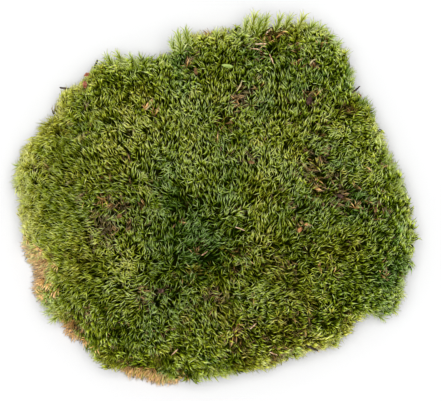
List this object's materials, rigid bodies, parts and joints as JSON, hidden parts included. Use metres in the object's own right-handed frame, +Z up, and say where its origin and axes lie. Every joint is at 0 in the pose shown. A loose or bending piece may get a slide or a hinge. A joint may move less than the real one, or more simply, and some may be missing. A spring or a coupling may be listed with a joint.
{
  "type": "moss clump",
  "caption": "Low cushion of broom-like moss with tufted, swept shoots, lifted with its felt of brown old stems, cut flat underneath, with needles, twigs and leaf scraps caught in it.",
  "frame": {"origin": "on the flat cut underneath, below the middle of the clump as seen from above", "axes": "+Z up out of the moss; +X towards the right of the picture, the long way across; +Y towards its top"},
  "size_m": [0.2055, 0.1895, 0.0372],
  "materials": {
    "living_moss": "matte",
    "old_stems": "matte",
    "dead_needle": "satin",
    "dry_straw": "satin",
    "twig_bark": "matte",
    "pink_leaf": "matte",
    "green_leaf": "satin",
    "rusty_leaf": "matte",
    "bark": "matte"
  },
  "bodies": {
    "root": {"moss_cushion": "living_moss", "old_stem_mat": "old_stems", "needle_north_long": "dead_needle", "needle_north_short": "dead_needle", "needle_north_edge": "dead_needle", "needle_in_crack": "dead_needle", "needle_middle": "dead_needle", "needle_hollow": "dead_needle", "needle_south_west": "dead_needle", "needle_south": "dead_needle", "needle_south_pink": "dead_needle", "straw_bent": "dry_straw", "straw_west": "dry_straw", "straw_north_east": "dry_straw", "twig_north_west": "twig_bark", "twig_stub_north": "twig_bark", "twig_stub_east": "twig_bark", "twig_south_east": "twig_bark", "leaf_scrap_pink_upper": "pink_leaf", "leaf_scrap_pink_lower": "pink_leaf", "leaf_scrap_pink_east": "pink_leaf", "leaf_green": "green_leaf", "leaf_scrap_orange_east": "rusty_leaf", "leaf_scrap_orange_small": "rusty_leaf", "leaf_scrap_rust_middle": "rusty_leaf", "leaf_scrap_rust_north": "rusty_leaf", "leaf_scrap_tan_west": "rusty_leaf", "leaf_scrap_far_east": "rusty_leaf", "bark_flake_north_east": "bark", "bark_flake_east": "bark", "bark_flake_south_west": "bark"}
  },
  "joints": []
}
